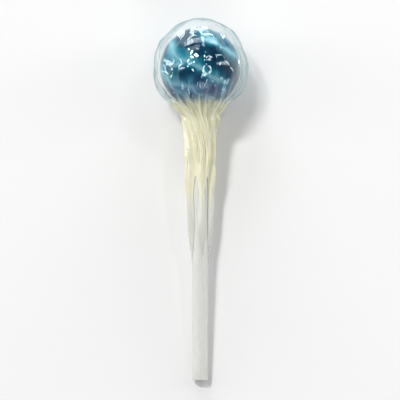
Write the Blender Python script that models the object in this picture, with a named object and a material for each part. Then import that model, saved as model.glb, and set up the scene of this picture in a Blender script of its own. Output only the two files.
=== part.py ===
"""Ball lollipop in a clear film wrapper, lying on its side on a table.

A boiled-sugar ball sits on a hollow plastic stick. One square sheet of film is drawn over the
ball, gathered round the stick below it, and its four corners run on down the stick as tails.

Each piece is worked out upright: its own Z is the stick's axis, the ball's centre is the
origin, the crown is at +Z and the stick goes down. An empty then lays the ball and the stick
down along Y. The origin of the laid object is the flat spot of film under the ball.
"""

import math

import bpy
import numpy as np

# Ball of boiled sugar, with a small collar drawn down the stick
CANDY_RADIUS = 0.01015
COLLAR_RADIUS = 0.00285
COLLAR_FILLET = 0.0008
COLLAR_END = 0.0109

# Stick, a hollow tube
STICK_RADIUS = 0.0020
BORE_RADIUS = 0.00085
STICK_LENGTH = 0.084
STICK_IN_CANDY = 0.016
STICK_CHAMFER = 0.00015

# Film, a square sheet. Its base profile runs along the bottoms of the pleats.
SHEET_HALF_SIDE = 0.050
FILM_WALL = 0.0003
CROWN_RISE = 0.0125
BELLY_RADIUS = 0.0116
CROWN_ARC = math.radians(101)
SHOULDER_DEPTH, WAIST_DEPTH, HEM_DEPTH = 0.0066, 0.0225, 0.0285
FILM_STATIONS = ((SHOULDER_DEPTH, 0.0089), (0.0090, 0.0060), (0.0113, 0.0038), (0.0145, 0.0031),
                 (WAIST_DEPTH, 0.0029), (HEM_DEPTH, 0.0028), (0.0400, 0.0027), (0.0520, 0.00265))
SHEET_OFF_CENTRE, OFF_CENTRE_TOWARDS = 0.0018, 0.6
SHEET_TURN = math.radians(17)
NECK_TWIST = math.radians(42)
TAIL_SPREAD, TAIL_SPREAD_LENGTH = 7.0, 0.020
EDGE_LIFT, EDGE_LENGTH = 0.25, 0.009

# Pleats: how far they stand out from the base profile, by depth below the ball's centre. Waves
# (how many go round the film, their size and where they start) make them uneven.
PLEATS = 12
PLEAT_WIDTH_WAVES = ((2, 0.10, 0.7), (3, 0.07, 2.1))
PLEAT_MEAN = 0.80
PLEAT_HEIGHT_WAVES = ((1, 0.12, 1.3), (5, 0.08, 0.0))
PLEAT_HEIGHTS = ((-0.0060, 0.0), (0.0020, 0.0001), (0.0066, 0.0004), (0.0095, 0.0009),
                 (0.0120, 0.0009), (0.0165, 0.00085), (0.0225, 0.0008), (0.0285, 0.0010),
                 (0.0400, 0.0006), (0.0520, 0.0003))

# Fit between pieces that touch
GAP = 0.0003
FILM_ON_STICK = STICK_RADIUS + GAP + FILM_WALL

# Mesh fineness
CANDY_SIDES, CANDY_RINGS = 48, 23
FILLET_STEPS, LIP_STEPS = 3, 4
STICK_SIDES = 24
FILM_COLUMNS = 72
CROWN_RINGS, NECK_RINGS, SKIRT_RINGS = 9, 13, 8
CROWN_POINTS, SKIRT_POINTS = 72, 200
SHARP_EDGE = math.radians(40)

# The laid pose: the ball stands on its film, and the stick's end touches the table
BALL_HEIGHT = CANDY_RADIUS + GAP + FILM_WALL
STICK_REACH = CANDY_RADIUS + STICK_LENGTH - STICK_IN_CANDY


def resting_tilt():
    """The stick's slope: its lower end edge is at height zero when the ball is at its height."""
    slant = math.hypot(STICK_REACH, STICK_RADIUS)
    return math.asin(BALL_HEIGHT / slant) - math.atan2(STICK_RADIUS, STICK_REACH)


TILT = resting_tilt()


def material(name, colour, roughness, alpha=1.0):
    """A plain non-metal finish."""
    finish = bpy.data.materials.new(name)
    finish.use_nodes = True
    shader = finish.node_tree.nodes["Principled BSDF"]
    shader.inputs["Base Color"].default_value = (*colour, 1.0)
    shader.inputs["Roughness"].default_value = roughness
    shader.inputs["Metallic"].default_value = 0.0
    shader.inputs["Alpha"].default_value = alpha
    return finish


def add_object(name, points, faces, finish, parent=None):
    """A smooth-shaded mesh object made of points and faces."""
    mesh = bpy.data.meshes.new(name)
    mesh.from_pydata(np.asarray(points).tolist(), [], faces)
    mesh.shade_smooth()
    mesh.set_sharp_from_angle(angle=SHARP_EDGE)
    mesh.materials.append(finish)
    piece = bpy.data.objects.new(name, mesh)
    bpy.context.collection.objects.link(piece)
    piece.parent = parent
    return piece


def arc(centre, radius, start, end, steps):
    """Points (radius, height) on a circle, from one angle to another, both ends included."""
    angles = np.linspace(start, end, steps + 1)
    return [(centre[0] + radius * math.sin(a), centre[1] + radius * math.cos(a)) for a in angles]


def turned(profile, sides, closed_loop=False):
    """Turn (radius, height) points about Z: a loop makes a ring, a line makes a closed bowl.

    A line starts and ends on the axis, where a single point closes the surface.
    """
    rims = profile if closed_loop else profile[1:-1]
    around = np.arange(sides) * 2 * math.pi / sides
    points = [(r * math.cos(a), r * math.sin(a), z) for r, z in rims for a in around]
    pairs = list(zip(range(len(rims) - 1), range(1, len(rims))))
    if closed_loop:
        pairs.append((len(rims) - 1, 0))
    faces = []
    for upper, lower in pairs:
        for side in range(sides):
            after = (side + 1) % sides
            faces.append((upper * sides + side, lower * sides + side,
                          lower * sides + after, upper * sides + after))
    if not closed_loop:
        first, last = len(points), len(points) + 1
        points += [(0.0, 0.0, profile[0][1]), (0.0, 0.0, profile[-1][1])]
        end = (len(rims) - 1) * sides
        faces += [(first, s, (s + 1) % sides) for s in range(sides)]
        faces += [(last, end + (s + 1) % sides, end + s) for s in range(sides)]
    return points, faces


def candy_profile():
    """The ball's outside, the fillet to its collar, the collar's round end, and the socket."""
    socket = STICK_RADIUS + GAP
    fillet_centre_radius = COLLAR_RADIUS + COLLAR_FILLET
    fillet_centre_height = -math.sqrt((CANDY_RADIUS + COLLAR_FILLET) ** 2
                                      - fillet_centre_radius ** 2)
    meeting_angle = math.atan2(fillet_centre_radius, fillet_centre_height)
    end_radius = 0.5 * (COLLAR_RADIUS - socket)
    end_centre = (socket + end_radius, end_radius - COLLAR_END)
    floor_height = STICK_IN_CANDY - CANDY_RADIUS + GAP
    outside = arc((0.0, 0.0), CANDY_RADIUS, 0.0, meeting_angle, CANDY_RINGS)
    fillet = arc((fillet_centre_radius, fillet_centre_height), COLLAR_FILLET,
                 meeting_angle - math.pi, -math.pi / 2, FILLET_STEPS)
    end = arc(end_centre, end_radius, math.pi / 2, 1.5 * math.pi, LIP_STEPS)
    return outside + fillet[1:] + end + [(socket, floor_height), (0.0, floor_height)]


def stick_profile():
    """The tube's wall as a loop: down the outside, across the end and up the bore."""
    top = STICK_IN_CANDY - CANDY_RADIUS
    bottom = -STICK_REACH
    outer, bore, cut = STICK_RADIUS, BORE_RADIUS, STICK_CHAMFER
    return [(outer - cut, top), (outer, top - cut), (outer, bottom + cut), (outer - cut, bottom),
            (bore + cut, bottom), (bore, bottom + cut), (bore, top - cut), (bore + cut, top)]


def smooth_curve(at, knots, values, first_slope):
    """A cubic through the values at the knots, with the first slope given."""
    slopes = np.gradient(values, knots)
    slopes[0] = first_slope
    span = np.clip(np.searchsorted(knots, at, side="right") - 1, 0, len(knots) - 2)
    width = knots[span + 1] - knots[span]
    t = (at - knots[span]) / width
    return ((1 + 2 * t) * (1 - t) ** 2 * values[span] + t * (1 - t) ** 2 * width * slopes[span]
            + t * t * (3 - 2 * t) * values[span + 1]
            - t * t * (1 - t) * width * slopes[span + 1])


def film_profile():
    """The film's base profile, (depth, radius) rows: an oval crown, then a curve to the tails."""
    turn = np.linspace(0.0, CROWN_ARC, CROWN_POINTS)
    crown = np.column_stack([-CROWN_RISE * np.cos(turn), BELLY_RADIUS * np.sin(turn)])
    knots, values = np.vstack([crown[-1:], FILM_STATIONS]).T
    crown_slope = BELLY_RADIUS * math.cos(CROWN_ARC) / (CROWN_RISE * math.sin(CROWN_ARC))
    depth = np.linspace(knots[0], knots[-1], SKIRT_POINTS)
    line = np.column_stack([depth, smooth_curve(depth, knots, values, crown_slope)])
    return np.vstack([crown, line[1:]])


def smoothstep(value):
    """0 below 0, 1 above 1, and a smooth rise between."""
    clipped = np.clip(value, 0.0, 1.0)
    return clipped * clipped * (3 - 2 * clipped)


def waves(angle, terms):
    """A sum of sine waves round the film, from (count, size, start) terms."""
    return sum(size * np.sin(count * angle + start) for count, size, start in terms)


def pleat_shape(angle):
    """0 at the bottom of a pleat and up to 1 on its crest, with pleats of uneven width and height."""
    uneven = angle + waves(angle, PLEAT_WIDTH_WAVES)
    crest = 0.5 - 0.5 * np.cos(PLEATS * uneven)
    return crest * (PLEAT_MEAN + waves(angle, PLEAT_HEIGHT_WAVES))


def hem_depth(angle):
    """Where the square sheet ends below the ball's centre: its corners reach furthest."""
    from_edge_middle = np.mod(angle + math.pi / 4, math.pi / 2) - math.pi / 4
    square = SHEET_HALF_SIDE * (1 / np.cos(from_edge_middle) - 1)
    return HEM_DEPTH + square + SHEET_OFF_CENTRE * np.cos(angle - OFF_CENTRE_TOWARDS)


def tail_opening(depth, angle):
    """How far the film of a tail fans out sideways: past the hem, a share of its corner angle."""
    from_corner = np.mod(angle, math.pi / 2) - math.pi / 4
    below_hem = (depth - HEM_DEPTH - SHEET_OFF_CENTRE) / TAIL_SPREAD_LENGTH
    return (TAIL_SPREAD - 1) * smoothstep(below_hem) * from_corner


def edge_lift(depth, angle):
    """The share of its height over the stick that the film keeps: less near its free edge."""
    above_edge = (hem_depth(angle) - depth) / EDGE_LENGTH
    return EDGE_LIFT + (1 - EDGE_LIFT) * smoothstep(above_edge)


def film_grid():
    """Depths and radii of the film's grid: rows from the crown to the hem, columns round it."""
    profile = film_profile()
    length = np.concatenate([[0], np.cumsum(np.hypot(*np.diff(profile, axis=0).T))])
    crown_end = CROWN_POINTS - 1
    waist_end = int(np.argmin(np.abs(profile[:, 0] - WAIST_DEPTH)))
    rows = np.concatenate([
        np.linspace(0.0, length[crown_end], CROWN_RINGS + 1)[1:],
        np.linspace(length[crown_end], length[waist_end], NECK_RINGS + 1)[1:]])
    depth_rows = np.interp(rows, length, profile[:, 0])
    around = np.arange(FILM_COLUMNS) * 2 * math.pi / FILM_COLUMNS
    upper = np.repeat(depth_rows[:, None], FILM_COLUMNS, axis=1)
    share = np.linspace(0.0, 1.0, SKIRT_RINGS + 1)[1:, None]
    skirt = WAIST_DEPTH + share * (hem_depth(around)[None, :] - WAIST_DEPTH)
    upper_length = np.repeat(rows[:, None], FILM_COLUMNS, axis=1)
    skirt_length = np.interp(skirt, profile[crown_end:, 0], length[crown_end:])
    along = np.vstack([upper_length, skirt_length])
    slope = np.gradient(profile, length, axis=0)
    depth = np.vstack([upper, skirt])
    radius = np.interp(along, length, profile[:, 1])
    normal_depth = -np.interp(along, length, slope[:, 1])
    normal_radius = np.interp(along, length, slope[:, 0])
    return around, depth, radius, normal_depth, normal_radius


def lay_down(points):
    """Upright points, turned and lifted as the laid lollipop's empty does it."""
    x, y, z = points.T
    lean_y = math.sin(TILT) * y + math.cos(TILT) * z
    lean_z = -math.cos(TILT) * y + math.sin(TILT) * z
    return np.column_stack([x, lean_y, lean_z + BALL_HEIGHT])


def film_skin(inset):
    """One face of the film, laid down and pressed flat where the ball rests on it."""
    around, depth, radius, normal_depth, normal_radius = film_grid()
    heights = np.asarray(PLEAT_HEIGHTS)
    lift = edge_lift(depth, around[None, :])
    raised = np.interp(depth, heights[:, 0], heights[:, 1]) * pleat_shape(around)[None, :]
    raised = raised * lift - inset
    radius = FILM_ON_STICK + (radius - FILM_ON_STICK) * lift
    gathered = (depth - SHOULDER_DEPTH) / (WAIST_DEPTH - SHOULDER_DEPTH)
    angle = around[None, :] + SHEET_TURN + NECK_TWIST * smoothstep(gathered)
    angle = angle + tail_opening(depth, around[None, :])
    reach = radius + raised * normal_radius
    height = -(depth + raised * normal_depth)
    grid = np.stack([reach * np.cos(angle), reach * np.sin(angle), height], axis=-1)
    pole = [[0.0, 0.0, CROWN_RISE - inset]]
    points = lay_down(np.vstack([pole, grid.reshape(-1, 3)]))
    points[:, 2] = np.maximum(points[:, 2], inset)
    return points, len(depth)


def film_faces(rings, start, outward):
    """Triangles of one face of the film: a fan at the crown, then split squares down to the hem."""
    faces = []
    for column in range(FILM_COLUMNS):
        after = (column + 1) % FILM_COLUMNS
        faces.append((start, start + 1 + column, start + 1 + after))
        for ring in range(rings - 1):
            here = start + 1 + ring * FILM_COLUMNS
            below = here + FILM_COLUMNS
            faces.append((here + column, below + column, below + after))
            faces.append((here + column, below + after, here + after))
    return faces if outward else [face[::-1] for face in faces]


def film_shell():
    """The film as one closed body: outer face, inner face and the hem that joins them."""
    outer, rings = film_skin(0.0)
    inner, _ = film_skin(FILM_WALL)
    start = len(outer)
    faces = film_faces(rings, 0, True) + film_faces(rings, start, False)
    hem = 1 + (rings - 1) * FILM_COLUMNS
    for column in range(FILM_COLUMNS):
        here, after = hem + column, hem + (column + 1) % FILM_COLUMNS
        faces.append((here, start + here, start + after))
        faces.append((here, start + after, after))
    return np.vstack([outer, inner]), faces


def build():
    """Clear the scene and make the lollipop."""
    for old in list(bpy.data.objects):
        bpy.data.objects.remove(old)
    axis = bpy.data.objects.new("lollipop_axis", None)
    bpy.context.collection.objects.link(axis)
    axis.location = (0.0, 0.0, BALL_HEIGHT)
    axis.rotation_euler = (TILT - math.pi / 2, 0.0, 0.0)

    candy = material("blue_boiled_sugar", (0.045, 0.17, 0.24), 0.12)
    plastic = material("white_plastic_tube", (0.80, 0.82, 0.80), 0.35)
    film = material("clear_film", (0.90, 0.92, 0.88), 0.10, alpha=0.35)
    add_object("candy_ball", *turned(candy_profile(), CANDY_SIDES), candy, axis)
    add_object("stick", *turned(stick_profile(), STICK_SIDES, closed_loop=True), plastic, axis)
    add_object("wrapper", *film_shell(), film)


build()
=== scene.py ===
# %% [markdown]
# A small ball lollipop in clear film lies on a pale table. It can't stand on its stick, so it
# rests on the film under its ball and on the end of its stick, and the camera looks down on it.
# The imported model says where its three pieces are: the ball of candy, the stick and the wrapper.
# Each gets a fine surface here, worked out with numpy on a grid, and a finish of its own.

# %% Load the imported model
import math

import bpy
import numpy as np
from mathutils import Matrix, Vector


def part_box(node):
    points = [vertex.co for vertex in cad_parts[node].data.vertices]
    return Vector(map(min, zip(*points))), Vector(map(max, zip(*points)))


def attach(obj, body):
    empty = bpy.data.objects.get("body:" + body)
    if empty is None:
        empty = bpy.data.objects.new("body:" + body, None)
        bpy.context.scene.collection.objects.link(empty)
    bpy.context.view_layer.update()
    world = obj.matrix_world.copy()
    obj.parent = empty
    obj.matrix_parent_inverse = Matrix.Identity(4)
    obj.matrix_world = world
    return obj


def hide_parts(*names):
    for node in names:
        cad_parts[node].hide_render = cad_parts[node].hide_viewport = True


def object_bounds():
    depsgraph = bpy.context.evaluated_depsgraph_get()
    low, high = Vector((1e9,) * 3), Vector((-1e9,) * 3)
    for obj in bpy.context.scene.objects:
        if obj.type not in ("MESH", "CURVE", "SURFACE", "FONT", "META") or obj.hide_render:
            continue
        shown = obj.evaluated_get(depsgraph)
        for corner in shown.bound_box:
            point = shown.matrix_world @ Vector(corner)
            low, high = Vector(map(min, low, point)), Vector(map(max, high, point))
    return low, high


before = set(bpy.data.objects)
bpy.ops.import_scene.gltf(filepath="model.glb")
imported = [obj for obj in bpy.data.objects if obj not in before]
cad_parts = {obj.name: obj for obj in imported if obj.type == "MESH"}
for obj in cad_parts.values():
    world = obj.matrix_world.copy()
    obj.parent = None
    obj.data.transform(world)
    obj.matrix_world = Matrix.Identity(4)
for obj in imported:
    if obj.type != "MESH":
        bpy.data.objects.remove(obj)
CAD_BOX = [list(corner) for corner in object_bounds()]
print("CAD box", CAD_BOX)

# %% [markdown]
# The lollipop's own axis is the stick's. It is easier to think of the sweet upright, with the
# ball's centre as the origin and the crown at +Z, and to lay the finished points down afterwards.
# The ball's box gives its radius and centre, and the stick's box gives its length and slope.

# %% Read the sizes from the model
MM = 0.001
ball_low, ball_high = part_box("candy_ball")
stick_low, stick_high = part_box("stick")
CANDY_RADIUS = 0.5 * (ball_high.x - ball_low.x)
BALL_HEIGHT = ball_low.z + CANDY_RADIUS
STICK_RADIUS = 0.5 * (stick_high.x - stick_low.x)
CUT_EDGE = 0.15 * MM
SLOPE_ROUNDS = 4
STICK_REACH = -stick_low.y
# The slope follows from the stick's reach, and the reach from how far the sloping cut edge leans,
# so the two are worked out in turn until they agree.
for _ in range(SLOPE_ROUNDS):
    TILT = math.asin(BALL_HEIGHT / math.hypot(STICK_REACH, STICK_RADIUS)) - math.atan2(
        STICK_RADIUS, STICK_REACH)
    edge_lean = (STICK_RADIUS - CUT_EDGE) * math.sin(TILT)
    STICK_REACH = (-stick_low.y - edge_lean) / math.cos(TILT)
STICK_TOP = (stick_high.y - edge_lean) / math.cos(TILT)
print("ball radius", CANDY_RADIUS, "stick radius", STICK_RADIUS, "tilt", math.degrees(TILT))
print("stick from", -STICK_REACH, "to", STICK_TOP, "along its axis")


def lay_down(points):
    """Upright points turned about X, so that +Z leans to +Y, and lifted to the ball's height."""
    x, y, z = np.moveaxis(np.asarray(points), -1, 0)
    along = math.sin(TILT) * y + math.cos(TILT) * z
    up = -math.cos(TILT) * y + math.sin(TILT) * z
    return np.stack([x, along, up + BALL_HEIGHT], axis=-1)


def smoothstep(value):
    """0 below 0, 1 above 1, and 3v^2 - 2v^3 between."""
    v = np.clip(value, 0.0, 1.0)
    return v * v * (3 - 2 * v)


# %% [markdown]
# Every surface here is a grid: rows run along the lollipop and columns run round it. One helper
# turns such a grid into a mesh. A row that has shrunk to a pole becomes one point with a fan of
# triangles, so that no seam or hole is left.

# %% Turn a grid into a mesh
def grid_mesh(name, rows, first_pole=None, last_pole=None, loop=False):
    """A mesh from a (rows, columns, 3) array that closes round its columns.

    Square k of a row joins columns k and k+1. A pole is one point that closes an end, and loop
    joins the last row to the first, as a tube's wall needs.
    """
    count, columns = rows.shape[:2]
    index = np.arange(count * columns).reshape(count, columns)
    upper = index if loop else index[:-1]
    lower = np.roll(index, -1, axis=0) if loop else index[1:]
    quads = np.stack([upper, lower, np.roll(lower, -1, axis=1), np.roll(upper, -1, axis=1)], -1)
    points = [rows.reshape(-1, 3)]
    faces = quads.reshape(-1, 4).tolist()
    total = count * columns
    for pole, ring, flip in ((first_pole, index[0], False), (last_pole, index[-1], True)):
        if pole is None:
            continue
        points.append(np.asarray(pole, float).reshape(1, 3))
        pair = np.stack([ring, np.roll(ring, -1)], -1)
        pair = pair[:, ::-1] if flip else pair
        faces += np.column_stack([np.full(columns, total), pair]).tolist()
        total += 1
    mesh = bpy.data.meshes.new(name)
    mesh.from_pydata(np.vstack(points).tolist(), [], faces)
    mesh.shade_smooth()
    piece = bpy.data.objects.new(name, mesh)
    bpy.context.collection.objects.link(piece)
    print(name, len(mesh.vertices), "points", len(mesh.polygons), "faces")
    return piece


# %% [markdown]
# Colours are written as the hex codes a painter would pick on a screen. Blender's shaders work in
# linear light, so one function turns them. A second small function adds a node to a material,
# with its settings and its links, and keeps the recipes below short.

# %% Colour and node helpers
def linear(code, alpha=1.0):
    """Linear RGBA from an sRGB hex code such as 4b7d8d."""
    parts = [int(code[i:i + 2], 16) / 255 for i in (0, 2, 4)]
    return (*[p / 12.92 if p <= 0.04045 else ((p + 0.055) / 1.055) ** 2.4 for p in parts], alpha)


def new_material(name):
    """An empty node material and its node tree."""
    finish = bpy.data.materials.new(name)
    finish.use_nodes = True
    finish.node_tree.nodes.clear()
    return finish, finish.node_tree


def add(tree, kind, inputs=None, **settings):
    """Add a node: settings are its properties, inputs its sockets' values or the outputs to link."""
    node = tree.nodes.new(kind)
    for key, value in settings.items():
        setattr(node, key, value)
    for key, value in (inputs or {}).items():
        socket = node.inputs[key]
        if isinstance(value, bpy.types.NodeSocket):
            tree.links.new(value, socket)
        else:
            socket.default_value = value
    return node


def ramp(tree, factor, stops):
    """A colour ramp through (position, hex code) stops."""
    node = add(tree, "ShaderNodeValToRGB", {"Fac": factor})
    elements = node.color_ramp.elements
    while len(elements) < len(stops):
        elements.new(0.5)
    for element, (position, code) in zip(elements, stops):
        element.position = position
        element.color = linear(code)
    return node.outputs["Color"]


# %% [markdown]
# The camera looks square onto the stick's axis from above, at the photograph's distance of about
# a metre, so that the sweet shows as it does standing: ball on top, stick running down. A long
# lens keeps the perspective as flat as in the photograph.

# %% Camera
CAMERA_DISTANCE = 1.06
FRAME_SHARE = 0.90
SENSOR_WIDTH = 36.0
crown_y = CAD_BOX[1][1]
tip_y = CAD_BOX[0][1]
middle = np.array([0.0, 0.5 * (crown_y + tip_y), 0.5 * BALL_HEIGHT])
square_on = np.array([0.0, -math.sin(TILT), math.cos(TILT)])
eye = middle + CAMERA_DISTANCE * square_on

camera_data = bpy.data.cameras.new("camera")
camera_data.sensor_width = SENSOR_WIDTH
camera_data.lens = SENSOR_WIDTH * CAMERA_DISTANCE / ((crown_y - tip_y) / FRAME_SHARE)
camera_data.clip_start = 0.05
camera = bpy.data.objects.new("camera", camera_data)
camera.location = eye
camera.rotation_euler = (TILT, 0.0, 0.0)
bpy.context.collection.objects.link(camera)
bpy.context.scene.camera = camera
print("lens", round(camera_data.lens, 1))

# %% [markdown]
# The table is one large pale matt square, so wide that its edge is never in view. Its white is a
# light grey, because a pure white would burn out under the lamps and swallow the film's edges.

# %% Table
TABLE_HALF = 5.0
TABLE_CORNERS = [(-TABLE_HALF, -TABLE_HALF, 0), (TABLE_HALF, -TABLE_HALF, 0),
                 (TABLE_HALF, TABLE_HALF, 0), (-TABLE_HALF, TABLE_HALF, 0)]
floor_mesh = bpy.data.meshes.new("floor")
floor_mesh.from_pydata(TABLE_CORNERS, [], [(0, 1, 2, 3)])
floor = bpy.data.objects.new("floor", floor_mesh)
bpy.context.collection.objects.link(floor)
paper, tree = new_material("matt_white_table")
shader = add(tree, "ShaderNodeBsdfPrincipled",
             {"Base Color": linear("dfdedd"), "Roughness": 0.85, "Specular IOR Level": 0.2})
add(tree, "ShaderNodeOutputMaterial", {"Surface": shader.outputs["BSDF"]})
floor_mesh.materials.append(paper)
print("table", 2 * TABLE_HALF, "m wide")

# %% [markdown]
# Film and sugar only show what they mirror, and a ball seen from above mirrors the sky overhead.
# So the sky is dark there, which keeps the candy deep, and pale near the horizon, which draws the
# film's edges. A ramp over the height of each direction gives it.

# %% Sky
SKY_STRENGTH = 0.95
world = bpy.data.worlds.new("studio")
world.use_nodes = True
tree = world.node_tree
direction = add(tree, "ShaderNodeSeparateXYZ", {
    "Vector": add(tree, "ShaderNodeTexCoord").outputs["Generated"]})
sky = ramp(tree, direction.outputs["Z"], (
    (0.0, "e9ebec"), (0.20, "c3c8cc"), (0.42, "545e67"), (0.75, "262d34")))
tree.links.new(sky, tree.nodes["Background"].inputs["Color"])
tree.nodes["Background"].inputs["Strength"].default_value = SKY_STRENGTH
bpy.context.scene.world = world
print("sky strength", SKY_STRENGTH)

# %% [markdown]
# The lamps are laid out for the reflections. A sun with a soft edge lights the table evenly. A low
# wide softbox beyond the crown stands where the photograph's light comes from, and a smaller one
# above it puts pale sheets on the facets near the crown. Two small bright lamps make the crisp
# sparkles, a low strip on each side draws the bright arcs along the film, and a fill on the
# stick's side opens the shade under the ball.

# %% Lamps
UNDER_BALL = (0, 0, 0.01)
ON_NECK = (0, -0.02, 0.01)
BELOW_NECK = (0, -0.03, 0.01)
SUN_WIDTH = math.radians(8)
MOST_LAYERS_SEEN = 48


def lamp(name, kind, place, aim, power):
    """A light at a place, tipped by the slope of its line to a point and turned to its bearing."""
    data = bpy.data.lights.new(name, kind)
    data.energy = power
    light = bpy.data.objects.new(name, data)
    light.location = place
    away = np.asarray(place, float) - np.asarray(aim, float)
    flat = math.hypot(away[0], away[1])
    light.rotation_euler = (math.atan2(flat, away[2]), 0.0, math.atan2(away[0], -away[1]))
    bpy.context.collection.objects.link(light)
    return data


def softbox(name, place, aim, size, power):
    """A rectangular area light."""
    data = lamp(name, "AREA", place, aim, power)
    data.shape = "RECTANGLE"
    data.size, data.size_y = size


lamp("key", "SUN", (-0.24, 0.26, 0.62), UNDER_BALL, 1.65).angle = SUN_WIDTH
softbox("sheen", (-0.22, 0.55, 0.42), UNDER_BALL, (0.36, 0.20), 1.1)
softbox("beyond_crown", (0.05, 0.95, 0.19), UNDER_BALL, (1.30, 0.32), 11.0)
softbox("spark_right", (0.30, 0.30, 0.55), UNDER_BALL, (0.09, 0.07), 0.55)
softbox("spark_left", (-0.34, 0.02, 0.62), UNDER_BALL, (0.08, 0.08), 0.45)
softbox("strip_left", (-0.55, 0.05, 0.20), ON_NECK, (0.07, 0.55), 0.9)
softbox("strip_right", (0.55, 0.10, 0.24), ON_NECK, (0.07, 0.50), 1.0)
softbox("fill", (0.10, -0.60, 0.40), BELOW_NECK, (0.40, 0.30), 1.3)
print(len(bpy.data.lights), "lamps")

# A ray crosses many walls of film where the folds lie over each other, and each counts as a bounce.
bpy.context.scene.cycles.transparent_max_bounces = MOST_LAYERS_SEEN
bpy.context.scene.view_settings.view_transform = "Standard"

# %% [markdown]
# The ball is boiled sugar, cast in two halves round the stick's end. A sphere turned from half a
# circle would be too perfect: the real one has a faint seam where the halves met and slightly
# uneven skin. So it is a function of two angles, and both are added to its radius. The skin ends
# where a fillet, a small hollow curve, takes it over into the collar. The fillet touches both, so
# its centre lies a fillet's radius off each, and that gives the angle at which the skin ends.

# %% Candy skin
BALL_ROWS, BALL_COLUMNS = 120, 180
COLLAR_RADIUS, COLLAR_FILLET = 2.85 * MM, 0.8 * MM
SEAM_HEIGHT, SEAM_WIDTH = 0.08 * MM, 0.35 * MM
UNEVENNESS, MOST_UNEVEN = 0.06 * MM, 1.6
FADE_AT_FILLET, FADE_AT_CROWN = 0.3, 0.1
fillet_reach = COLLAR_RADIUS + COLLAR_FILLET
fillet_height = -math.sqrt((CANDY_RADIUS + COLLAR_FILLET) ** 2 - fillet_reach ** 2)
skin_end = math.atan2(fillet_reach, fillet_height)
ball_around = np.linspace(0.0, 2 * math.pi, BALL_COLUMNS, endpoint=False)[None, :]


def candy_skin(around):
    """Radius = ball + seam + unevenness, over the polar and the round angle.

    The seam is a bell-shaped ridge near the plane x = 0. The unevenness is a sum of slow waves
    over the skin, less its highest value, so that it only ever takes away. Both fade out at the
    crown and at the fillet.
    """
    polar = np.linspace(0.0, skin_end, BALL_ROWS + 1)[1:, None]
    x = np.sin(polar) * np.cos(around)
    y = np.sin(polar) * np.sin(around)
    z = np.cos(polar) + 0 * around
    seam = SEAM_HEIGHT * np.exp(-(x * CANDY_RADIUS / SEAM_WIDTH) ** 2)
    slow = np.sin(7 * x + 2 * y) * np.sin(6 * y - 3 * z + 1.0) + 0.6 * np.sin(9 * z + 4 * x)
    fade = smoothstep((skin_end - polar) / FADE_AT_FILLET) * smoothstep(polar / FADE_AT_CROWN)
    radius = CANDY_RADIUS + fade * (seam + UNEVENNESS * (slow - MOST_UNEVEN))
    return radius[..., None] * np.stack([x, y, z], axis=-1)


skin = candy_skin(ball_around)
print("skin ends", math.degrees(skin_end), "degrees from the crown")

# %% [markdown]
# Below the ball, a small collar of sugar is drawn down the stick. It is a profile carried round
# the axis: the fillet, a round lip at its lower end, and then up into the socket that holds the
# stick. It joins the skin row for row, so ball, collar and socket are one closed surface.

# %% Candy collar and socket
COLLAR_END = 10.9 * MM
SOCKET_GAP = 0.3 * MM
FILLET_STEPS, LIP_STEPS = 6, 8


def arc(centre, radius, start, end, steps):
    """Points (radius, height) of a circle between two angles from +Z, without the first."""
    turn = np.linspace(start, end, steps + 1)[1:]
    return np.column_stack([centre[0] + radius * np.sin(turn), centre[1] + radius * np.cos(turn)])


def candy_collar(around):
    """The collar's (radius, height) points, carried round the axis."""
    socket = STICK_RADIUS + SOCKET_GAP
    lip = 0.5 * (COLLAR_RADIUS - socket)
    line = np.vstack([
        arc((fillet_reach, fillet_height), COLLAR_FILLET, skin_end - math.pi, -math.pi / 2,
            FILLET_STEPS),
        arc((socket + lip, lip - COLLAR_END), lip, math.pi / 2, 1.5 * math.pi, LIP_STEPS),
        [(socket, STICK_TOP + SOCKET_GAP)]])
    return np.stack([line[:, :1] * np.cos(around), line[:, :1] * np.sin(around),
                     line[:, 1:] + 0 * around], axis=-1)


candy = grid_mesh("candy", lay_down(np.concatenate([skin, candy_collar(ball_around)])),
                  first_pole=lay_down([0, 0, CANDY_RADIUS]),
                  last_pole=lay_down([0, 0, STICK_TOP + SOCKET_GAP]))

# %% [markdown]
# The swirl is made by folding sugar of two or three shades together before it is cast. That
# draws the shades out into bands, which wind round the ball and break into veins. Two noises do
# the folding here, one of the size of the folds and one of the size of the veins. They push each
# place aside by some millimetres before the bands are drawn.

# %% Folded sugar
FOLD_SIZE, FOLD_PUSH = 7.5, 6.5
VEIN_SIZE, VEIN_PUSH = 2.6, 1.1


def folded_place(tree):
    """The place, upright and in millimetres from the ball's centre, pushed aside by noise."""
    place = add(tree, "ShaderNodeTexCoord").outputs["Object"]
    lowered = add(tree, "ShaderNodeMapping", {
        "Vector": place, "Location": (0, 0, -BALL_HEIGHT / MM), "Scale": (1 / MM,) * 3})
    upright = add(tree, "ShaderNodeVectorRotate", {
        "Vector": lowered.outputs[0], "Angle": math.pi / 2 - TILT}, rotation_type="X_AXIS")
    bent = upright.outputs[0]
    for size, push in ((FOLD_SIZE, FOLD_PUSH), (VEIN_SIZE, VEIN_PUSH)):
        noise = add(tree, "ShaderNodeTexNoise", {
            "Vector": upright.outputs[0], "Scale": 1 / size, "Detail": 2.0, "Roughness": 0.5})
        centred = add(tree, "ShaderNodeVectorMath", {
            0: noise.outputs["Color"], 1: (-0.5,) * 3}, operation="ADD")
        bent = add(tree, "ShaderNodeVectorMath", {
            0: centred.outputs[0], 1: (push,) * 3, 2: bent}, operation="MULTIPLY_ADD").outputs[0]
    return bent


print("folds of", FOLD_SIZE, "mm and veins of", VEIN_SIZE, "mm")

# %% [markdown]
# A wave over the angle round the axis makes the bands, and adding the height to the angle lets
# them wind like a thread. The colours were matched to the photograph: deep blue, teal and pale
# blue, with violet towards the stick.

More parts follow.
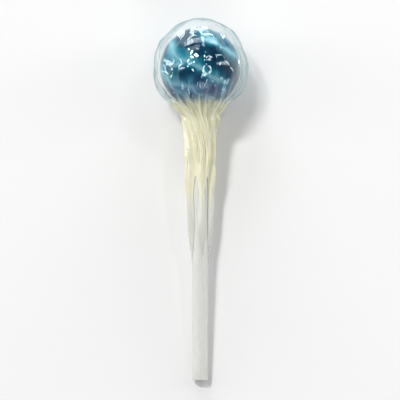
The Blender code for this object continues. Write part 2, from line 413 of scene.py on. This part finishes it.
# %% Marbling
BAND_COUNT = 2
BAND_WIND = 3.6
FINE_SCALE, FINE_SHARE = 0.30, 0.35
SUGAR_SHADES = (
    (0.16, "04223a"), (0.30, "0d435a"), (0.42, "1b697d"), (0.52, "408c9e"),
    (0.60, "7cafba"), (0.68, "4d94a5"), (0.78, "176279"), (0.90, "062a41"))
VIOLET, VIOLET_SHARE = "4b3b80", 0.46
VIOLET_STARTS, VIOLET_FULL = -1.5, -8.0


def marbling(tree):
    """Bands = wave of (count x angle + wind x height) at the folded place, as a colour.

    A noise of about 3 mm breaks the wave up a little before it goes through the colour ramp. The
    violet is mixed in between the heights, in millimetres, where it starts and where it is full.
    """
    bent = folded_place(tree)
    axes = add(tree, "ShaderNodeSeparateXYZ", {"Vector": bent})
    angle = add(tree, "ShaderNodeMath", {0: axes.outputs["Y"], 1: axes.outputs["X"]},
                operation="ARCTAN2")
    wind = add(tree, "ShaderNodeMath", {
        0: axes.outputs["Z"], 1: BAND_WIND / (CANDY_RADIUS / MM)}, operation="MULTIPLY")
    winding = add(tree, "ShaderNodeMath", {
        0: angle.outputs[0], 1: float(BAND_COUNT), 2: wind.outputs[0]}, operation="MULTIPLY_ADD")
    wave = add(tree, "ShaderNodeMath", {0: winding.outputs[0]}, operation="SINE")
    share = add(tree, "ShaderNodeMapRange", {
        "Value": wave.outputs[0], "From Min": -1.0, "From Max": 1.0})
    fine = add(tree, "ShaderNodeTexNoise", {
        "Vector": bent, "Scale": FINE_SCALE, "Detail": 2.0, "Roughness": 0.5})
    mixed = add(tree, "ShaderNodeMix", {
        "Factor": FINE_SHARE, "A": share.outputs[0], "B": fine.outputs["Fac"]},
        data_type="FLOAT")
    bands = ramp(tree, mixed.outputs[0], SUGAR_SHADES)
    near_stick = add(tree, "ShaderNodeMapRange", {
        "Value": axes.outputs["Z"], "From Min": VIOLET_STARTS, "From Max": VIOLET_FULL})
    violet_share = add(tree, "ShaderNodeMath", {
        0: near_stick.outputs[0], 1: VIOLET_SHARE}, operation="MULTIPLY")
    colour = add(tree, "ShaderNodeMix", {
        "Factor": violet_share.outputs[0], "A": bands, "B": linear(VIOLET)},
        data_type="RGBA")
    return colour.outputs[2]


print(BAND_COUNT, "bands round the ball in", len(SUGAR_SHADES), "shades")

# %% [markdown]
# Boiled sugar is a glass: light goes a little way in before it comes back, and the skin is
# mirror smooth from the mould. The mirror is tinted a pale cyan, because a neutral one greys the
# teal more than the photograph shows.

# %% Boiled sugar
def boiled_sugar():
    """A glossy skin over the marbling, with some light scattered below it."""
    finish, tree = new_material("boiled_sugar_marbled_blue")
    shader = add(tree, "ShaderNodeBsdfPrincipled", {
        "Base Color": marbling(tree), "Roughness": 0.10, "IOR": 1.5,
        "Specular Tint": linear("dcf3f8"),
        "Subsurface Weight": 0.25, "Subsurface Radius": (0.4, 0.8, 1.0),
        "Subsurface Scale": 1.0 * MM})
    add(tree, "ShaderNodeOutputMaterial", {"Surface": shader.outputs["BSDF"]})
    return finish


candy.data.materials.append(boiled_sugar())
print("candy finish", candy.data.materials[0].name)
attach(candy, "root")
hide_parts("candy_ball")

# %% [markdown]
# The stick is an extruded tube of white polypropylene, cut square and hollow to save plastic. Its
# wall is a loop that is carried round the axis: down the outside, round the cut edge and back up
# the bore. Cutting presses the edge a little, so its corners are rounded.

# %% Stick
STICK_COLUMNS, WALL_POINTS, CORNER_POINTS = 64, 30, 5
BORE_RADIUS = 0.85 * MM


def corner(radius, height, start):
    """A quarter circle of the cut edge's rounding, as (radius, height) points."""
    turn = start + np.linspace(0.0, math.pi / 2, CORNER_POINTS)
    return np.column_stack([radius + CUT_EDGE * np.cos(turn),
                            height + CUT_EDGE * np.sin(turn)])


def stick_surface():
    """The wall's loop of (radius, height) points, carried round the axis."""
    top, bottom = STICK_TOP - CUT_EDGE, -STICK_REACH + CUT_EDGE
    outer, inner = STICK_RADIUS - CUT_EDGE, BORE_RADIUS + CUT_EDGE
    heights = np.linspace(top, bottom, WALL_POINTS)[1:-1]
    down = np.column_stack([np.full(len(heights), STICK_RADIUS), heights])
    heights = np.linspace(bottom, top, WALL_POINTS)[1:-1]
    up = np.column_stack([np.full(len(heights), BORE_RADIUS), heights])
    loop = np.vstack([
        corner(outer, top, 0.0)[::-1], down, corner(outer, bottom, -math.pi / 2)[::-1],
        corner(inner, bottom, math.pi)[::-1], up, corner(inner, top, math.pi / 2)[::-1]])
    around = np.linspace(0.0, 2 * math.pi, STICK_COLUMNS, endpoint=False)
    radius, height = loop[:, 0, None], loop[:, 1, None]
    return np.stack([radius * np.cos(around), radius * np.sin(around), height + 0 * around], -1)


stick = grid_mesh("stick_tube", lay_down(stick_surface()), loop=True)

# %% [markdown]
# Polypropylene lets a little light in, so its shadows are soft, and the die leaves faint lines
# along the tube. The lines are drawn wider than the real ones, which the picture couldn't show.

# %% White polypropylene
DIE_LINE_SPACING = 0.25


def white_polypropylene():
    """A soft white with lines that run along the tube, as noise stretched along Y."""
    finish, tree = new_material("extruded_white_polypropylene")
    place = add(tree, "ShaderNodeTexCoord").outputs["Object"]
    stretched = add(tree, "ShaderNodeMapping", {
        "Vector": place, "Scale": (1 / MM, 0.02 / MM, 1 / MM)})
    lines = add(tree, "ShaderNodeTexNoise", {
        "Vector": stretched.outputs[0], "Scale": 1 / DIE_LINE_SPACING, "Detail": 1.0})
    tint = ramp(tree, lines.outputs["Fac"], ((0.3, "cacac4"), (0.7, "d1d1cb")))
    relief = add(tree, "ShaderNodeBump", {
        "Height": lines.outputs["Fac"], "Strength": 0.10, "Distance": 0.05 * MM})
    shader = add(tree, "ShaderNodeBsdfPrincipled", {
        "Base Color": tint, "Roughness": 0.38, "IOR": 1.49, "Normal": relief.outputs[0],
        "Subsurface Weight": 0.25, "Subsurface Radius": (1.0, 0.95, 0.85),
        "Subsurface Scale": 1.0 * MM})
    add(tree, "ShaderNodeOutputMaterial", {"Surface": shader.outputs["BSDF"]})
    return finish


stick.data.materials.append(white_polypropylene())
print("stick finish", stick.data.materials[0].name)
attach(stick, "root")
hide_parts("stick")

# %% [markdown]
# The wrapper is one square of film. Laid over the ball, its middle makes the crown and its edges
# hang down. Drawn together round the stick, the spare width has to go into pleats, which start
# shallow on the ball and are deepest below the neck. A square reaches furthest at its corners,
# so these become four tails. The sheet is worked out upright as depth and radius over two
# parameters: the way along the sheet and the angle round it.

# %% Film: sizes
# A station is a depth below the ball's centre with the film's radius there. The first one is
# the shoulder, the fifth the waist and the sixth the hem. Pleat heights go by depth as well.
FILM_ROWS, FILM_COLUMNS = 136, 360
UPPER_SHARE = 0.66
CROWN_POINTS, SKIRT_POINTS = 90, 300
CROWN_RISE, BELLY_RADIUS = 12.5 * MM, 11.6 * MM
CROWN_ARC = math.radians(101)
STATIONS = MM * np.array([
    (6.6, 8.9), (9.0, 6.0), (11.3, 3.8), (14.5, 3.1), (22.5, 2.9), (28.5, 2.8), (40.0, 2.7),
    (52.0, 2.65)])
SHOULDER_DEPTH, WAIST_DEPTH, HEM_DEPTH = STATIONS[[0, 4, 5], 0]
SHEET_HALF_SIDE = 50 * MM
SHEET_OFF_CENTRE, OFF_CENTRE_TOWARDS = 1.8 * MM, 0.6
SHEET_TURN, NECK_TWIST = math.radians(17), math.radians(42)
TAIL_SPREAD, TAIL_SPREAD_LENGTH = 7.0, 20 * MM
PLEATS = 12
PLEAT_HEIGHTS = MM * np.array([
    (-6.0, 0.0), (2.0, 0.1), (6.6, 0.4), (9.5, 0.9), (12.0, 0.9), (16.5, 0.85), (22.5, 0.8),
    (28.5, 1.0), (40.0, 0.6), (52.0, 0.3)])
print("neck", STATIONS[3, 1] / MM, "mm in radius, hem", HEM_DEPTH / MM, "mm below the centre")

# %% [markdown]
# The smooth form is a profile, carried round the axis: an oval over the crown, then one curve
# through a few stations, where the radius of the shoulder, the neck and the tails is known. The
# curve keeps the oval's slope where they meet, so no crease shows there.

# %% Film: profile
def smooth_curve(at, knots, values, first_slope):
    """A cubic between each two knots, with slopes from the neighbours and the first one given."""
    slopes = np.gradient(values, knots)
    slopes[0] = first_slope
    span = np.clip(np.searchsorted(knots, at, side="right") - 1, 0, len(knots) - 2)
    width = knots[span + 1] - knots[span]
    t = (at - knots[span]) / width
    return ((1 + 2 * t) * (1 - t) ** 2 * values[span] + t * (1 - t) ** 2 * width * slopes[span]
            + t * t * (3 - 2 * t) * values[span + 1]
            - t * t * (1 - t) * width * slopes[span + 1])


def film_profile():
    """Depth and radius along the sheet: an oval over the crown, then a smooth curve."""
    turn = np.linspace(0.0, CROWN_ARC, CROWN_POINTS)
    crown = np.column_stack([-CROWN_RISE * np.cos(turn), BELLY_RADIUS * np.sin(turn)])
    knots, values = np.vstack([crown[-1:], STATIONS]).T
    slope = BELLY_RADIUS * math.cos(CROWN_ARC) / (CROWN_RISE * math.sin(CROWN_ARC))
    depth = np.linspace(knots[0], knots[-1], SKIRT_POINTS)
    line = np.column_stack([depth, smooth_curve(depth, knots, values, slope)])
    return np.vstack([crown, line[1:]])


profile = film_profile()
print("profile of", len(profile), "points, widest", profile[:, 1].max() / MM, "mm in radius")

# %% [markdown]
# The rows of the grid follow the sheet from its middle to its free edge. Down to the waist they
# run level. Below it, each column's rows are spread over what is left of the sheet there. A
# square sheet's edge lies at half a side / cos(angle from the side's middle), so it comes down
# furthest at the corners. The sheet also lies a little off centre on the ball, as most do.

# %% Film: rows of the sheet
def film_base(profile):
    """The grid's way along the sheet, depth, radius and the profile's normal, and its angles."""
    length = np.concatenate([[0], np.cumsum(np.hypot(*np.diff(profile, axis=0).T))])
    skirt_depth, skirt_length = profile[CROWN_POINTS:, 0], length[CROWN_POINTS:]
    waist = float(np.interp(WAIST_DEPTH, skirt_depth, skirt_length))
    around = np.linspace(0.0, 2 * math.pi, FILM_COLUMNS, endpoint=False)
    from_middle = np.mod(around + math.pi / 4, math.pi / 2) - math.pi / 4
    hem = (HEM_DEPTH + SHEET_HALF_SIDE * (1 / np.cos(from_middle) - 1)
           + SHEET_OFF_CENTRE * np.cos(around - OFF_CENTRE_TOWARDS))
    hem_length = np.interp(hem, skirt_depth, skirt_length)
    upper_rows = int(FILM_ROWS * UPPER_SHARE)
    upper = np.linspace(0.0, waist, upper_rows + 1)[1:, None] + 0 * around
    share = np.linspace(0.0, 1.0, FILM_ROWS - upper_rows + 1)[1:, None]
    along = np.vstack([upper, waist + share * (hem_length - waist)])
    slope = np.gradient(profile, length, axis=0)
    depth = np.interp(along, length, profile[:, 0])
    radius = np.interp(along, length, profile[:, 1])
    normal = (-np.interp(along, length, slope[:, 1]), np.interp(along, length, slope[:, 0]))
    return along, depth, radius, normal, around


along, depth, radius, (normal_depth, normal_radius), around = film_base(profile)
print("sheet reaches", along.max() / MM, "mm from its middle")

# %% [markdown]
# Film hardly stretches, so it can't lie smoothly on a ball: it breaks into flat facets between
# sharp creases. A crumpled sheet has just that look, and a small formula gives it. The square of
# the distance to the nearest of some scattered points is a bowl round each point. The difference
# of two such squares, for two sets of points, is flat in between, because the two bowls' curves
# cancel: what is left is facets, ridges and valleys. Large facets with small ones added to them
# look more like film than facets of one size.

# %% Film: facets
FACET_SIZE = 5.0 * MM
SMALL_FACET_SIZE, SMALL_SHARE = 2.8 * MM, 0.28
SEED = 11
rng = np.random.default_rng(SEED)


def nearest_square(x, y, sites):
    """The squared distance of each point of the sheet to the nearest site."""
    return np.min([(x - a) ** 2 + (y - b) ** 2 for a, b in sites], axis=0)


def crumple(x, y, size):
    """Flat facets: (square to the nearest of set A - square to the nearest of set B) / size."""
    half = math.ceil(SHEET_HALF_SIDE * math.sqrt(2) / size)
    grid = size * np.stack(np.meshgrid(*[np.arange(-half, half + 1)] * 2), -1).reshape(-1, 2)
    first = grid + rng.uniform(-0.5, 0.5, grid.shape) * size
    second = grid + rng.uniform(-0.5, 0.5, grid.shape) * size
    return (nearest_square(x, y, first) - nearest_square(x, y, second)) / size


sheet_x, sheet_y = along * np.cos(around), along * np.sin(around)
facets = (crumple(sheet_x, sheet_y, FACET_SIZE)
          + SMALL_SHARE * crumple(sheet_x, sheet_y, SMALL_FACET_SIZE))
print("facets from", facets.min() / MM, "to", facets.max() / MM, "mm")

# %% [markdown]
# Further down, the spare width folds into darts, long straight ridges that start at different
# heights and rise evenly towards the neck. They are drawn one after the other in a loop, each
# with its own random place, lean and width, and the highest one counts where two of them cross.

# %% Film: darts
DARTS = 30
DART_SLOPE, DART_LIMIT = 0.035, 0.55 * MM
DART_FADE, DART_LEFT = (34 * MM, 52 * MM), 0.2
DART_SHIFT, DART_LEAN = 0.35, 3.0
DART_STARTS, DART_WIDTHS = (4.0, 22.0), (0.5, 1.0)


def tent(value):
    """1 at zero, falling straight to 0 at -1 and at 1."""
    return np.maximum(0.0, 1.0 - np.abs(value))


def darts(way, angle):
    """Straight ridges down the sheet: each starts at its own place and rises evenly from it."""
    height = 0 * way
    fading = np.interp(way, DART_FADE, (1.0, DART_LEFT))
    for dart in range(DARTS):
        middle = (dart + rng.uniform(-DART_SHIFT, DART_SHIFT)) * 2 * math.pi / DARTS
        lean = rng.uniform(-DART_LEAN, DART_LEAN)
        start = rng.uniform(*DART_STARTS) * MM
        width = rng.uniform(*DART_WIDTHS) * 2 * math.pi / DARTS
        off = angle - middle - lean * (way - start)
        off = np.mod(off + math.pi, 2 * math.pi) - math.pi
        rise = np.clip((way - start) * DART_SLOPE, 0.0, DART_LIMIT) * fading
        height = np.maximum(height, rise * tent(off / width))
    return height


dart_height = darts(along, around)
print("darts up to", dart_height.max() / MM, "mm high")

# %% [markdown]
# In the neck all this width lies in pleats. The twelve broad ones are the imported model's own, so
# that both have the same outline. Narrow ones lie over each other on top of them, like the leaves
# of a twisted fan. One such leaf is a tooth that rises slowly and drops steeply. Three sets of
# them, of different widths, wander sideways and so seem to fork and to run into each other.

# %% Film: pleats and leaves
LEAF_COUNTS, LEAF_SHARES = (23, 37, 58), (0.42, 0.34, 0.24)
LEAF_STEEP_PART = 0.22
SLOW_WANDER, QUICK_WANDER = 0.05, 0.03
SLOW_LENGTH, QUICK_LENGTH = 6 * MM, 4 * MM
LEAF_TWIST_LENGTH = 3 * MM


def leaf(phase):
    """A fold that lies over the next one: from 0 it rises slowly to 1, then drops steeply."""
    part = np.mod(phase / (2 * math.pi), 1.0)
    return np.minimum(part / (1 - LEAF_STEEP_PART), (1 - part) / LEAF_STEEP_PART)


def pleat_shape(angle):
    """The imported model's pleats: from 0 in a valley to about 1 on a crest, of uneven width."""
    uneven = angle + 0.10 * np.sin(2 * angle + 0.7) + 0.07 * np.sin(3 * angle + 2.1)
    crest = 0.5 - 0.5 * np.cos(PLEATS * uneven)
    return crest * (0.80 + 0.12 * np.sin(angle + 1.3) + 0.08 * np.sin(5 * angle))


def leaves(angle, way):
    """Narrow overlapping folds of three widths, whose places wander, so that they fork."""
    wander = (SLOW_WANDER * np.sin(3 * angle + way / SLOW_LENGTH)
              + QUICK_WANDER * np.sin(7 * angle - way / QUICK_LENGTH))
    few, some, many = LEAF_COUNTS
    wide = leaf(few * (angle + wander))
    middle = leaf(some * (angle - 1.3 * wander) + 1.0)
    narrow = leaf(many * (angle + 0.6 * wander) + way / LEAF_TWIST_LENGTH)
    return LEAF_SHARES[0] * wide + LEAF_SHARES[1] * middle + LEAF_SHARES[2] * narrow


fold = leaves(around, along)
pleat = pleat_shape(around)
print("pleats", PLEATS, "leaves", sum(LEAF_COUNTS))

# %% [markdown]
# The whole relief is the sum of the four, each with its own height at each depth. The facets are
# steepest on the shoulder and nearly flat on the tails, and the leaves are highest in the neck.

# %% Film: relief
FACET_DEPTHS = (-12, -4, 6, 12, 22, 34, 50)
FACET_SLOPES = (0.10, 0.13, 0.16, 0.13, 0.10, 0.05, 0.02)
LEAF_DEPTHS = (-2, 4, 9, 14, 22, 29, 50)
LEAF_HEIGHTS = (0.0, 0.05, 0.20, 0.27, 0.24, 0.20, 0.12)
facet_slope = np.interp(depth / MM, FACET_DEPTHS, FACET_SLOPES)
leaf_height = MM * np.interp(depth / MM, LEAF_DEPTHS, LEAF_HEIGHTS)
pleat_height = np.interp(depth, PLEAT_HEIGHTS[:, 0], PLEAT_HEIGHTS[:, 1])
raised = facet_slope * facets + dart_height + pleat_height * pleat + leaf_height * fold
print("relief from", raised.min() / MM, "to", raised.max() / MM, "mm")

# %% [markdown]
# The relief is added along the profile's normal. Near its free edge the film settles on the
# stick, as static makes real film do, so both its height and its relief shrink there. Round the
# stick it may not come closer than a tenth of a millimetre. The candy it clears by itself, and
# the print says by how much.

# %% Film: settle it
CLEARANCE = 0.12 * MM
EDGE_LIFT, EDGE_LENGTH = 0.05, 9 * MM
ROUND_STICK = 0.9

lift = EDGE_LIFT + (1 - EDGE_LIFT) * smoothstep((along[-1] - along) / EDGE_LENGTH)
close = STICK_RADIUS + CLEARANCE
reach = close + (radius - close) * lift + raised * lift * normal_radius
drop = depth + raised * lift * normal_depth
reach = np.where(drop > CANDY_RADIUS * ROUND_STICK, np.maximum(reach, close), reach)
off_candy = np.hypot(reach, drop).min() - CANDY_RADIUS
print("film is", off_candy / MM, "mm or more off the candy")

# %% [markdown]
# The neck is twisted, so the sheet turns about the axis on its way down, and below the hem each
# tail fans out from its corner. Laid down, what would be below the table is pressed flat on it,
# with small wrinkles left under the ball. The crown is closed by a single point.

# %% Film: twist it and lay it down
PRESSED_WRINKLE = 0.25 * MM
OFF_TABLE = 0.03 * MM

gathered = (depth - SHOULDER_DEPTH) / (WAIST_DEPTH - SHOULDER_DEPTH)
from_corner = np.mod(around, math.pi / 2) - math.pi / 4
below_hem = (depth - HEM_DEPTH - SHEET_OFF_CENTRE) / TAIL_SPREAD_LENGTH
tail_spread = 1 + (TAIL_SPREAD - 1) * smoothstep(below_hem)
turned = (around + SHEET_TURN + NECK_TWIST * smoothstep(gathered)
          + (tail_spread - 1) * from_corner)
upright = np.stack([reach * np.cos(turned), reach * np.sin(turned), -drop], axis=-1)
laid = lay_down(upright)
wrinkle = PRESSED_WRINKLE * fold
laid[..., 2] = np.maximum(laid[..., 2], OFF_TABLE + wrinkle * (laid[..., 2] < 0.0))
crown_point = lay_down([0.0, 0.0, CROWN_RISE + float(raised[0].mean())])
film = grid_mesh("film", laid, first_pole=crown_point)

# %% [markdown]
# The film's finish depends on how many layers lie over each other. A ring of the flat sheet is
# 2 pi x its distance from the middle long, and it is gathered to 2 pi x the radius, so the
# number of layers is the one over the other: about one on the crown, three at the shoulder and
# more than ten in the neck. The mesh carries it as an attribute, with the folds as a second one.
# Below the hem nothing holds the layers together, so air gets between them and the tails look
# whiter than the neck. How loose they are is the third attribute.

# %% Film: layers
FOLD_LAYERS_AND_CREST_LIGHT = 0.5
LOOSE_LENGTH = 8 * MM
layers = along / (np.maximum(radius, STICK_RADIUS) * tail_spread)
# Crests count more layers and valleys fewer: partly the leaves lying over each other, partly painted
# light that makes the crests denser and paler.
layers = layers * (1 + FOLD_LAYERS_AND_CREST_LIGHT * (fold - 0.5))
loose = smoothstep((depth - HEM_DEPTH) / LOOSE_LENGTH)
print("layers: at most", layers.max(), "and on average", layers.mean())
for name, values, at_pole in (("layers", layers, 1.0), ("fold", fold, 0.5), ("loose", loose, 0.0)):
    attribute = film.data.attributes.new(name, "FLOAT", "POINT")
    attribute.data.foreach_set("value", np.append(values.ravel(), at_pole).astype(np.float32))

# %% [markdown]
# Real film of this kind is about 0.03 mm thick. A Solidify modifier gives the surface nearly
# such a wall, on its inner side, so that it is a closed body with a true free edge.

# %% Film: thickness
FILM_THICKNESS = 0.04 * MM
thicken = film.modifiers.new("thickness", "SOLIDIFY")
thicken.thickness = FILM_THICKNESS
thicken.offset = -1.0
thicken.use_quality_normals = True
print("film", FILM_THICKNESS / MM, "mm thick")

# %% [markdown]
# Film has fine creases that scatter light, so a few layers look clear and a dozen look like
# cream paper. The first three layers are left clear. If each further one passes a share p of the
# light, then n of them pass p to the power of n, and the rest meets the haze. So the dozen layers
# of the neck are nearly all haze.

# %% Share of the haze
PASS_OF_A_LAYER = 0.62
FREE_LAYERS = 3.0
LAYERS_IN_NECK = 12


def haze_share(tree):
    """1 - pass ^ (layers - free layers), or none where there are fewer layers than that."""
    count = add(tree, "ShaderNodeAttribute", attribute_name="layers").outputs["Fac"]
    less = add(tree, "ShaderNodeMath", {0: count, 1: FREE_LAYERS}, operation="SUBTRACT")
    spare = add(tree, "ShaderNodeMath", {0: less.outputs[0], 1: 0.0}, operation="MAXIMUM")
    passing = add(tree, "ShaderNodeMath", {0: PASS_OF_A_LAYER, 1: spare.outputs[0]},
                  operation="POWER")
    share = add(tree, "ShaderNodeMath", {
        0: passing.outputs[0], 1: -1.0, 2: 1.0}, operation="MULTIPLY_ADD")
    return share.outputs[0]


print("haze in the neck", 1 - PASS_OF_A_LAYER ** (LAYERS_IN_NECK - FREE_LAYERS))

# %% [markdown]
# The haze is whitish where it is thin and cream where the layers are pressed together in the
# neck. It is palest on the crests of the folds, painted light where the light reaches them best,
# and a deeper cream in the valleys, painted shade. In the loose tails, with air between the
# layers, it is a soft white. Most light comes back from it and some goes through, as with paper.

# %% Haze of the gathered layers
CREAM_AND_PAINTED_CREST_LIGHT = ((0.15, "faf4d0"), (0.5, "fcf8dc"), (0.85, "fffef0"))
THIN_HAZE, LOOSE_HAZE = "dbe9e6", "efeee5"
CREAM_STARTS, CREAM_FULL = 0.1, 0.5
LIGHT_THROUGH = 0.3


def haze(tree, share):
    """Light scattered back and through, tinted by the share, the tails and painted crest light."""
    crest = add(tree, "ShaderNodeAttribute", attribute_name="fold").outputs["Fac"]
    airy = add(tree, "ShaderNodeAttribute", attribute_name="loose").outputs["Fac"]
    # Painted light: the cream is palest on the fold crests, and deeper in the valleys as painted
    # shade.
    cream = ramp(tree, crest, CREAM_AND_PAINTED_CREST_LIGHT)
    warmth = add(tree, "ShaderNodeMapRange", {
        "Value": share, "From Min": CREAM_STARTS, "From Max": CREAM_FULL})
    tint = add(tree, "ShaderNodeMix", {
        "Factor": warmth.outputs[0], "A": linear(THIN_HAZE), "B": cream},
        data_type="RGBA").outputs[2]
    tint = add(tree, "ShaderNodeMix", {
        "Factor": airy, "A": tint, "B": linear(LOOSE_HAZE)}, data_type="RGBA").outputs[2]
    back = add(tree, "ShaderNodeBsdfDiffuse", {"Color": tint})
    through = add(tree, "ShaderNodeBsdfTranslucent", {"Color": tint})
    both = add(tree, "ShaderNodeMixShader", {
        0: LIGHT_THROUGH, 1: back.outputs[0], 2: through.outputs[0]})
    return both.outputs[0]


print("light through the haze", LIGHT_THROUGH)

# %% [markdown]
# Clear polypropylene film is cast on a polished roll, so it is nearly invisible face on and a
# mirror at a glancing angle. Towards its outline it is painted darker, a painted shade that
# draws a dark edge line. Film is too thin to bend light aside, so its clear part is transparent
# and not glass.

# %% Clear film
FACE_ON_MIRROR, GRAZING_MIRROR, MIRROR_POWER = 0.045, 0.90, 5.0
EDGE_PAINTED_SHADE = ((0.0, "ffffff"), (0.55, "feffff"), (0.80, "f2f6f6"), (1.0, "7f9298"))


def clear_film():
    """Clear and haze mixed by the haze's share, and a mirror by angle over both.

    The mirror's share = face-on share + 0.9 x the fifth power of how far the film turns away.
    """
    finish, tree = new_material("clear_polypropylene_film")
    share = haze_share(tree)
    facing = add(tree, "ShaderNodeLayerWeight", {"Blend": 0.5}).outputs["Facing"]
    grazing = add(tree, "ShaderNodeMath", {0: facing, 1: MIRROR_POWER}, operation="POWER")
    mirror = add(tree, "ShaderNodeMath", {
        0: grazing.outputs[0], 1: GRAZING_MIRROR, 2: FACE_ON_MIRROR}, operation="MULTIPLY_ADD")
    # The clear part's colour is painted shade towards the outline, which draws a dark edge line.
    edge = ramp(tree, facing, EDGE_PAINTED_SHADE)
    clear = add(tree, "ShaderNodeBsdfTransparent", {"Color": edge})
    gloss = add(tree, "ShaderNodeBsdfGlossy", {"Color": linear("e6f6f9"), "Roughness": 0.05})
    body = add(tree, "ShaderNodeMixShader", {
        0: share, 1: clear.outputs[0], 2: haze(tree, share)})
    surface = add(tree, "ShaderNodeMixShader", {
        0: mirror.outputs[0], 1: body.outputs[0], 2: gloss.outputs[0]})
    add(tree, "ShaderNodeOutputMaterial", {"Surface": surface.outputs[0]})
    return finish


film.data.materials.append(clear_film())
print("film finish", film.data.materials[0].name)
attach(film, "root")
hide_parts("wrapper")
